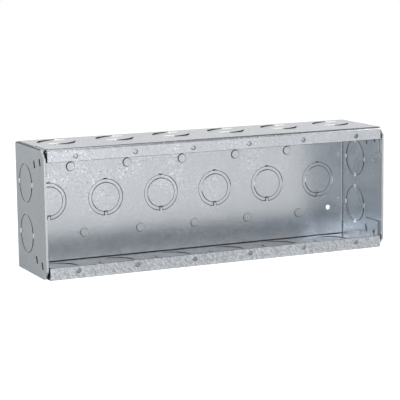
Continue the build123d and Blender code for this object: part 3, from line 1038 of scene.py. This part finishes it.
def body_finishes(sizes, press, torn_and_shaded, tab_shade_zinc, drawn, bright):
    """The metals of the body's faces that differ from its zinc, each with a test for its faces."""
    tab_edge = body_low.y + press.tab_front
    back_face = body_high.y - sizes.sheet

    def at_tab(point):
        past_back = abs(point.x) > body_high.x - 1.5 * sizes.sheet
        return past_back and abs(point.z - mid_height) > mid_height - press.tab_reach

    # The front edges of the left tabs and the walls of the lug slots are of sheared steel; on the left tabs
    # its near-black tone paints the shade in the left seams
    def on_tab_edge(point, normal):
        return at_tab(point) and point.x < 0 and normal.y < -0.9 and abs(point.y - tab_edge) < NEAR

    def in_lug_slot(point, normal):
        return at_tab(point) and abs(normal.x) < 0.1 and 0.2 < abs(normal.y) < 0.98

    # Painted shade: the faces of the tabs take the end plates' darker zinc
    def on_tab_face(point, normal):
        return at_tab(point) and abs(normal.x) > 0.9 and point.y > tab_edge

    # The shear has drawn the zinc out bright on the left of each disc's step: a painted highlight in
    # near-white zinc
    def on_step(point, normal):
        across = point.x - first_gang - gang_pitch * round((point.x - first_gang) / gang_pitch)
        reach = math.hypot(across, point.z - mid_height)
        at_back = abs(point.y - back_face) < sizes.step
        slanted = normal.x < -0.3 and normal.y < -0.2
        return at_back and slanted and abs(reach - sizes.disc_radius) < sizes.step

    # The lower bosses are burnished
    def on_low_boss(point, normal):
        low_x = first_gang + gang_pitch / 2 + press.boss_stagger
        across = point.x - low_x - gang_pitch * round((point.x - low_x) / gang_pitch)
        reach = math.hypot(across, point.z - mid_height + press.boss_rows / 2)
        return NEAR < back_face - point.y < sizes.sheet and reach < press.boss_radius + NEAR

    return [
        (torn_and_shaded, on_tab_edge),
        (torn_and_shaded, in_lug_slot),
        (tab_shade_zinc, on_tab_face),
        (drawn, on_step),
        (bright, on_low_boss),
    ]


class GANGBOX_OT_body(bpy.types.Operator):
    """Makes the folded body from the CAD sheet, with both faces of its knockouts and bosses"""

    bl_idname = "gangbox.body"
    bl_label = "Body sheet"

    def execute(self, context):
        sizes = context.scene.gangbox_knockouts
        press = context.scene.gangbox_press
        finish = context.scene.gangbox_finish
        zinc = named_material("galvanised_body_sheet", body_zinc_material, finish)
        torn_and_shaded = named_material("sheared_steel", sheared_steel_and_shade_material, finish)
        bright = named_material("burnished_steel", burnished_steel_material, finish)
        drawn = named_material("drawn_zinc", drawn_zinc_highlight_material, finish)
        tab_shade_zinc = named_material("galvanised_end_sheet", end_zinc_material, finish)
        back = back_knockout_tools(sizes)
        wall = wall_knockout_tools(sizes)
        edge = edge_tools(sizes, press)
        hollows, rings, shade_crescents = boss_tool_rows(sizes, press, zinc, torn_and_shaded)

        # First knockout of each row, on the outer and the inner face of its wall
        wall_y = body_high.y - sizes.setback
        behind = (first_gang, body_high.y, mid_height)
        back_inner = (first_gang, body_high.y - sizes.sheet, mid_height)
        top = (first_gang, wall_y, body_high.z)
        under_top = (first_gang, wall_y, body_high.z - sizes.sheet)
        base = (first_gang, wall_y, body_low.z)
        over_base = (first_gang, wall_y, body_low.z + sizes.sheet)
        rooms = [
            *hollows,
            gang_row(wall["room"], top, FACING_UP, zinc),
            gang_row(wall["room"], base, FACING_DOWN, zinc),
        ]
        pushed_out = [
            of_metal(edge["seam_shade_blocks"], torn_and_shaded),
            gang_row(back["proud_ring"], behind, FACING_BACK, zinc),
            gang_row(wall["top_disc"], top, FACING_UP, zinc),
            gang_row(wall["base_disc"], base, FACING_DOWN, zinc),
        ]
        cracks = [
            *rings,
            of_metal(edge["bend_shade_grooves"], torn_and_shaded),
            of_metal(edge["shaded_lips"], torn_and_shaded),
            of_metal(edge["corners"], bright),
            gang_row(back["cracks"], back_inner, FACING_FRONT, torn_and_shaded),
            gang_row(back["behind_cracks"], behind, FACING_BACK, torn_and_shaded),
            gang_row(wall["outer_cracks"], top, FACING_UP, torn_and_shaded),
            gang_row(wall["outer_cracks"], base, FACING_DOWN, torn_and_shaded),
            gang_row(wall["inner_cracks"], under_top, FACING_DOWN, torn_and_shaded),
            gang_row(wall["inner_cracks"], over_base, FACING_UP, torn_and_shaded),
        ]
        slots = [*shade_crescents, gang_row(back["slots"], back_inner, FACING_FRONT, torn_and_shaded)]
        torn_sides = [
            of_metal(edge["skins"], torn_and_shaded),
            gang_row(back["tie_legs"], back_inner, FACING_FRONT, torn_and_shaded),
        ]
        # The swells take the near-white drawn zinc: painted highlights at the ties
        swells = [
            gang_row(wall["top_swells"], top, FACING_UP, drawn),
            gang_row(wall["base_swells"], base, FACING_DOWN, drawn),
        ]
        blows = [
            ("DIFFERENCE", rooms),
            ("UNION", pushed_out),
            ("DIFFERENCE", cracks),
            ("DIFFERENCE", slots),
            ("DIFFERENCE", torn_sides),
            ("UNION", swells),
        ]
        piece, tools = struck("body_sheet", "box_body", blows)
        settle(piece, tools, zinc, body_finishes(sizes, press, torn_and_shaded, tab_shade_zinc, drawn, bright))
        dress(piece, "galvanised_body", "box_body")
        return {"FINISHED"}


class GANGBOX_OT_ends(bpy.types.Operator):
    """Makes the two end plates from the CAD plates, with both faces of their knockouts"""

    bl_idname = "gangbox.ends"
    bl_label = "End plates"

    def execute(self, context):
        sizes = context.scene.gangbox_knockouts
        press = context.scene.gangbox_press
        finish = context.scene.gangbox_finish
        zinc = named_material("galvanised_end_sheet", end_zinc_material, finish)
        torn_and_shaded = named_material("sheared_steel", sheared_steel_and_shade_material, finish)
        bright = named_material("burnished_steel", burnished_steel_material, finish)
        drawn = named_material("drawn_zinc", drawn_zinc_highlight_material, finish)
        ties = [quarter * math.pi / 2 for quarter in range(4)]
        end_tie = 1.5 * sizes.tie_width
        spans = spans_between(ties, end_tie, sizes.ring_radius)
        crack = solid("end_crack", shear_line(sizes, sizes.ring_radius, spans))
        recess = solid("end_disc_room", disc_room(sizes, sizes.step))
        swell_makers = [tie_swell(sizes, sizes.end_swell, 0, turn, sizes.end_swell_rise) for turn in ties]
        outer_swells = solid("outer_swells", *swell_makers[1::2])
        inner_swells = solid("inner_swells", *swell_makers)
        low_z = mid_height - sizes.end_spacing / 2
        upward = (0, 0, sizes.end_spacing)
        knockout_y = body_high.y - sizes.setback
        outer_x = plate_high.x
        inner_x = plate_high.x - sizes.sheet
        pocket_size = (2 * press.pocket_depth, press.pocket_width, press.pocket_height)
        pocket_spots = []
        for edge, inward in ((body_high.z, -1), (body_low.z, 1)):
            pocket_spots.append((plate_low.y + press.front_pocket, edge + inward * press.front_rise))
            pocket_spots.append((plate_low.y + press.rear_pocket, edge + inward * press.rear_rise))
        lean = Matrix.Rotation(-press.pocket_tilt, 4, "X")

        # Grooves along each tab's front and along its free end, lined with near-black steel: painted shade in
        # the seams between the tabs and the plates
        tab_front = plate_low.y + press.tab_front
        shade_line_size = (2 * press.shade_line_depth, press.shade_line_width, press.tab_reach)
        end_shade_line_size = (2 * press.shade_line_depth, press.tab_length, press.shade_line_width)
        tab_shade_lines = []
        for edge, inward in ((body_high.z, -1), (body_low.z, 1)):
            reach = edge + inward * (press.tab_reach + press.shade_line_width) / 2
            free_end = edge + inward * press.tab_reach
            past_end = free_end + inward * press.shade_line_width / 4
            tab_shade_lines.append((shade_line_size, (tab_front - press.shade_line_width / 4, reach)))
            tab_shade_lines.append((end_shade_line_size, (tab_front + press.tab_length / 2, past_end)))

        # The shear's breakout along the top edge, lined with near-black steel: a painted shade line along the
        # plate's top
        break_side = press.edge_break * math.sqrt(2)
        break_size = (break_side, 1.1 * (plate_high.y - plate_low.y), break_side)
        eighth = Matrix.Rotation(math.pi / 4, 4, "Y")

        def end_row(tool, start, turn, material):
            return row(tool, 2, start, upward, turn, material)

        # The front edges and the cut front corners are bright
        def on_front(point, normal):
            front = point.y < plate_low.y + press.front_corner and abs(normal.x) < 0.3
            return front and normal.y < -0.3

        for name, side, outward, inward in (
            ("left_end_plate", -1, FACING_LEFT, FACING_RIGHT),
            ("right_end_plate", 1, FACING_RIGHT, FACING_LEFT),
        ):
            outside = (side * outer_x, knockout_y, low_z)
            inside = (side * inner_x, knockout_y, low_z)
            disc = solid("end_disc", struck_disc(sizes, 0, side * sizes.end_twist))
            pockets = solid(
                "clinch_pockets", *(block(pocket_size, (side * outer_x, y, z), lean) for y, z in pocket_spots)
            )
            shade_seams = [
                of_metal(solid("tab_seam", block(size, (side * inner_x, y, z))), torn_and_shaded)
                for size, (y, z) in tab_shade_lines
            ]
            break_centre = (side * outer_x, (plate_high.y + plate_low.y) / 2, plate_high.z)
            breakout_and_shade = solid("edge_break", block(break_size, break_centre, eighth))
            # The swells take the near-white drawn zinc: painted highlights at the ties
            swells = [
                end_row(outer_swells, outside, outward, drawn),
                end_row(inner_swells, inside, inward, drawn),
            ]
            blows = [
                ("DIFFERENCE", [end_row(recess, inside, inward, zinc)]),
                ("UNION", [end_row(disc, outside, outward, zinc)]),
                (
                    "DIFFERENCE",
                    [
                        end_row(crack, outside, outward, torn_and_shaded),
                        end_row(crack, inside, inward, torn_and_shaded),
                        of_metal(pockets, torn_and_shaded),
                        of_metal(breakout_and_shade, torn_and_shaded),
                    ],
                ),
                ("DIFFERENCE", shade_seams[::2]),
                ("DIFFERENCE", shade_seams[1::2]),
                ("UNION", swells),
            ]
            piece, tools = struck(name.replace("plate", "sheet"), name, blows)
            settle(piece, tools, zinc, [(bright, on_front)])
            dress(piece, "galvanised_ends", name)
        return {"FINISHED"}


class GANGBOX_OT_threads(bpy.types.Operator):
    """Winds the threads of the device screw holes and of the ground screw hole"""

    bl_idname = "gangbox.threads"
    bl_label = "Screw threads"

    def execute(self, context):
        sizes = context.scene.gangbox_knockouts
        press = context.scene.gangbox_press
        finish = context.scene.gangbox_finish
        cut = named_material("tapped_steel", tapped_steel_material, finish)

        def ridge(radius):
            empty = bpy.data.meshes.new("thread")
            return made_by(
                thread_tree(),
                empty,
                Radius=radius,
                Pitch=press.thread_pitch,
                Length=sizes.sheet - press.thread_depth,
                Ridge=press.thread_depth,
                Material=cut,
            )

        device = gangs[0]
        device_ridge = ridge(device["dims"]["hole_r_mm"] * MM)
        ground_ridge = ridge(ground_hole["dims"]["r_mm"] * MM)
        half_spacing = device["dims"]["spacing_y_mm"] * MM / 2
        face_y = device["pos_m"][1] + sizes.sheet - press.thread_depth / 2
        rows = [
            row(
                device_ridge,
                gang_count,
                (first_gang, face_y, device["pos_m"][2] + side * half_spacing),
                along_gangs,
                FACING_FRONT,
                cut,
            )
            for side in (-1, 1)
        ]
        ground_x, ground_y, ground_z = ground_hole["pos_m"]
        ground_start = (ground_x, ground_y + (sizes.sheet - press.thread_depth) / 2, ground_z)
        rows.append(row(ground_ridge, 1, ground_start, (0, 0, 0), FACING_FRONT, cut))
        mesh = joined("screw_threads", rows)
        work = bmesh.new()
        work.from_mesh(mesh)
        bmesh.ops.recalc_face_normals(work, faces=work.faces)
        work.to_mesh(mesh)
        work.free()
        mesh.shade_smooth()
        piece = new_piece("screw_threads", mesh)
        dress(piece, "galvanised_body")
        return {"FINISHED"}


class GANGBOX_OT_stage(bpy.types.Operator):
    """Sets the white floor, the light and the camera"""

    bl_idname = "gangbox.stage"
    bl_label = "Studio"

    def execute(self, context):
        scene = context.scene
        studio = scene.gangbox_studio
        scene.view_settings.view_transform = "Standard"

        # White world for the camera; reflections see it white low down and dark towards the ceiling
        world = bpy.data.worlds.new("studio")
        world.use_nodes = True
        scene.world = world
        tree = world.node_tree
        tree.nodes.clear()
        ray = add(tree, "ShaderNodeLightPath").outputs
        heading = add(tree, "ShaderNodeTexCoord").outputs["Generated"]
        height = add(tree, "ShaderNodeSeparateXYZ", {0: heading}).outputs[2]
        ceiling = add(
            tree,
            "ShaderNodeMapRange",
            {0: height, 1: studio.horizon_to, 2: studio.ceiling_from, 3: 1.0, 4: studio.ceiling},
            interpolation_type="SMOOTHSTEP",
        )
        shown = add(
            tree, "ShaderNodeMath", {0: ray["Is Camera Ray"], 1: ceiling.outputs[0]}, operation="MAXIMUM"
        )
        seen = add(
            tree, "ShaderNodeMath", {0: ray["Is Camera Ray"], 1: ray["Is Glossy Ray"]}, operation="MAXIMUM"
        )
        seen = add(
            tree, "ShaderNodeMath", {0: seen.outputs[0], 1: ray["Is Transmission Ray"]}, operation="MAXIMUM"
        )
        fill = add(tree, "ShaderNodeBackground", {"Color": (*studio.white, 1), "Strength": studio.fill})
        white = add(tree, "ShaderNodeBackground", {"Color": (*studio.white, 1), "Strength": shown.outputs[0]})
        mixed = add(
            tree, "ShaderNodeMixShader", {0: seen.outputs[0], 1: fill.outputs[0], 2: white.outputs[0]}
        )
        add(tree, "ShaderNodeOutputWorld", {0: mixed.outputs[0]})

        # Floor that shows white to the camera and darker in reflections
        material, tree, output = new_material("studio_floor")
        ray = add(tree, "ShaderNodeLightPath").outputs
        direct = add(
            tree,
            "ShaderNodeMath",
            {0: ray["Is Camera Ray"], 1: ray["Is Transmission Ray"]},
            operation="MAXIMUM",
        )
        direct = add(
            tree, "ShaderNodeMath", {0: direct.outputs[0], 1: studio.floor_shown}, operation="MULTIPLY"
        )
        mirrored = add(
            tree, "ShaderNodeMath", {0: ray["Is Glossy Ray"], 1: studio.floor_mirrored}, operation="MULTIPLY"
        )
        seen = add(
            tree, "ShaderNodeMath", {0: direct.outputs[0], 1: mirrored.outputs[0]}, operation="MAXIMUM"
        )
        matte = add(tree, "ShaderNodeBsdfDiffuse", {"Color": (*studio.floor_tone, 1)})
        glow = add(tree, "ShaderNodeEmission", {"Color": (*studio.white, 1), "Strength": studio.floor_glow})
        mixed = add(
            tree, "ShaderNodeMixShader", {0: seen.outputs[0], 1: matte.outputs[0], 2: glow.outputs[0]}
        )
        tree.links.new(mixed.outputs[0], output.inputs[0])
        half = studio.floor_size / 2
        corners = [(-half, -half, 0), (half, -half, 0), (half, half, 0), (-half, half, 0)]
        mesh = bpy.data.meshes.new("studio_floor")
        mesh.from_pydata(corners, [], [(0, 1, 2, 3)])
        mesh.materials.append(material)
        floor = new_piece("studio_floor", mesh)

        # Softboxes: two in front, one to the right, one overhead and one behind
        for name in ("key", "front", "side", "top", "rear"):
            lamp = bpy.data.lights.new(name + "_softbox", "AREA")
            lamp.energy = getattr(studio, name + "_power")
            lamp.size = getattr(studio, name + "_size")
            softbox = bpy.data.objects.new(name + "_softbox", lamp)
            scene.collection.objects.link(softbox)
            softbox.location = getattr(studio, name + "_place")
            facing = Vector((0, 0, mid_height)) - softbox.location
            softbox.rotation_euler = facing.to_track_quat("-Z", "Y").to_euler()

        # Camera at the photograph's angle
        yaw, dip, roll = studio.camera_yaw, studio.camera_dip, studio.camera_roll
        ahead = Vector((math.sin(yaw) * math.cos(dip), math.cos(yaw) * math.cos(dip), -math.sin(dip)))
        level = Vector((math.cos(yaw), -math.sin(yaw), 0))
        upright = level.cross(ahead)
        right = math.cos(roll) * level + math.sin(roll) * upright
        above = math.cos(roll) * upright - math.sin(roll) * level
        camera = bpy.data.objects.new("camera", bpy.data.cameras.new("camera"))
        scene.collection.objects.link(camera)
        camera.data.lens = studio.lens
        camera.data.clip_start = 0.05
        camera.data.clip_end = 100
        turn = Matrix((right, above, -ahead)).transposed().to_4x4()
        camera.matrix_world = Matrix.Translation(studio.camera_place) @ turn
        scene.camera = camera
        return {"FINISHED"}


class GANGBOX_PT_panel(bpy.types.Panel):
    """Lists the steps that dress the box"""

    bl_label = "Gang box"
    bl_idname = "GANGBOX_PT_panel"
    bl_space_type = "VIEW_3D"
    bl_region_type = "UI"
    bl_category = "Gang box"

    def draw(self, context):
        for operator in operators:
            self.layout.operator(operator.bl_idname)


settings = {
    "gangbox_knockouts": KnockoutSizes,
    "gangbox_press": PressSizes,
    "gangbox_finish": FinishSettings,
    "gangbox_studio": StudioSettings,
}
operators = (GANGBOX_OT_body, GANGBOX_OT_ends, GANGBOX_OT_threads, GANGBOX_OT_stage)


def register():
    """Registers the settings, the steps and the panel."""
    for name, group in settings.items():
        bpy.utils.register_class(group)
        setattr(bpy.types.Scene, name, PointerProperty(type=group))
    for operator in operators:
        bpy.utils.register_class(operator)
    bpy.utils.register_class(GANGBOX_PT_panel)


def unregister():
    """Takes away all that register added."""
    bpy.utils.unregister_class(GANGBOX_PT_panel)
    for operator in reversed(operators):
        bpy.utils.unregister_class(operator)
    for name, group in settings.items():
        delattr(bpy.types.Scene, name)
        bpy.utils.unregister_class(group)


def main():
    """Dresses the box."""
    register()
    bpy.ops.gangbox.body()
    bpy.ops.gangbox.ends()
    bpy.ops.gangbox.threads()
    bpy.ops.gangbox.stage()


if __name__ == "__main__":
    main()
